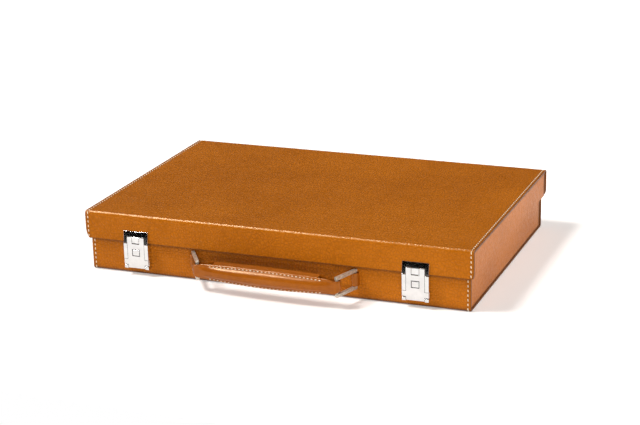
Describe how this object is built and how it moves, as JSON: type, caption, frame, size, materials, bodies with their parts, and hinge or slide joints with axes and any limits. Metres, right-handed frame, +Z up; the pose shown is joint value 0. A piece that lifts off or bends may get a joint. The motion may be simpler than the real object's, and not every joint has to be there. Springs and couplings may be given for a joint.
{
  "type": "poker chip case",
  "caption": "Flat leather-covered attache-style case with an overhanging hinged lid, metal latches and a folding front handle, fitted inside with chip rows and card wells.",
  "frame": {"origin": "middle of the underside of the closed case, on the surface that it lies on", "axes": "+X along the front to the right, +Y to the back where the hinges are, +Z up; the handle and latches face -Y"},
  "size_m": [0.4, 0.3032, 0.0616],
  "materials": {
    "leather": "grained, waxed",
    "suede": "suede",
    "tray": "covered in suede",
    "felt": "pressed felt",
    "wood": "bare",
    "chrome": "polished",
    "steel": "nickel plated"
  },
  "bodies": {
    "base": {"base_back_board": "wood", "base_floor_board": "wood", "base_front_board": "wood", "base_leather_wrap": "leather", "base_left_board": "wood", "base_left_leather": "leather", "base_lining": "suede", "base_right_board": "wood", "base_right_leather": "leather", "base_rim_binding": "leather", "card_tray": "tray", "chip_tray_left": "tray", "chip_tray_right": "tray", "handle_left_keeper": "leather", "handle_right_keeper": "leather", "hinge_left_base_leaf": "steel", "hinge_left_base_screw_1": "steel", "hinge_left_base_screw_2": "steel", "hinge_left_pin": "steel", "hinge_right_base_leaf": "steel", "hinge_right_base_screw_1": "steel", "hinge_right_base_screw_2": "steel", "hinge_right_pin": "steel", "latch_left_pin": "steel", "latch_left_plate": "chrome", "latch_right_pin": "steel", "latch_right_plate": "chrome"},
    "lid": {"hinge_left_lid_leaf": "steel", "hinge_left_lid_screw_1": "steel", "hinge_left_lid_screw_2": "steel", "hinge_right_lid_leaf": "steel", "hinge_right_lid_screw_1": "steel", "hinge_right_lid_screw_2": "steel", "latch_left_catch": "chrome", "latch_right_catch": "chrome", "lid_back_board": "wood", "lid_front_board": "wood", "lid_leather_wrap": "leather", "lid_left_board": "wood", "lid_left_leather": "leather", "lid_lining": "suede", "lid_right_board": "wood", "lid_right_leather": "leather", "lid_rim_binding": "leather", "lid_top_board": "wood"},
    "handle": {"handle_core": "felt", "handle_leather": "leather"},
    "left_ring": {"handle_left_ring": "chrome"},
    "right_ring": {"handle_right_ring": "chrome"},
    "left_hasp": {"latch_left_hasp": "chrome"},
    "right_hasp": {"latch_right_hasp": "chrome"},
    "left_button": {"latch_left_button": "chrome"},
    "right_button": {"latch_right_button": "chrome"}
  },
  "joints": [
    {"name": "lid_hinge", "type": "hinge", "parent": "base", "child": "lid", "pos_m": [0, 0.13315, 0.03075], "axis": [-1, 0, 0], "range_deg": [0, 150]},
    {"name": "handle_slide", "type": "slide", "parent": "base", "child": "handle", "axis": [0, 1, 0], "range_m": [0, 0.012]},
    {"name": "left_ring_swing", "type": "hinge", "parent": "base", "child": "left_ring", "pos_m": [-0.0837, -0.133, 0.0212], "axis": [0, 0, 1], "range_deg": [0, 33.8]},
    {"name": "right_ring_swing", "type": "hinge", "parent": "base", "child": "right_ring", "pos_m": [0.0837, -0.133, 0.0212], "axis": [0, 0, 1], "range_deg": [-41.15, 0]},
    {"name": "left_hasp_hinge", "type": "hinge", "parent": "base", "child": "left_hasp", "pos_m": [-0.1442, -0.1352, 0.0092], "axis": [1, 0, 0], "range_deg": [0, 85]},
    {"name": "left_button_press", "type": "slide", "parent": "base", "child": "left_button", "axis": [0, 1, 0], "range_m": [0, 0.0008], "stiffness_N_per_m": 600},
    {"name": "right_hasp_hinge", "type": "hinge", "parent": "base", "child": "right_hasp", "pos_m": [0.1442, -0.1352, 0.0092], "axis": [1, 0, 0], "range_deg": [0, 85]},
    {"name": "right_button_press", "type": "slide", "parent": "base", "child": "right_button", "axis": [0, 1, 0], "range_m": [0, 0.0008], "stiffness_N_per_m": 600}
  ],
  "couplings": [
    {"joint": "left_ring_swing", "follows": "handle_slide", "rad_per_m": 49.016},
    {"joint": "right_ring_swing", "follows": "handle_slide", "rad_per_m": -59.711}
  ]
}
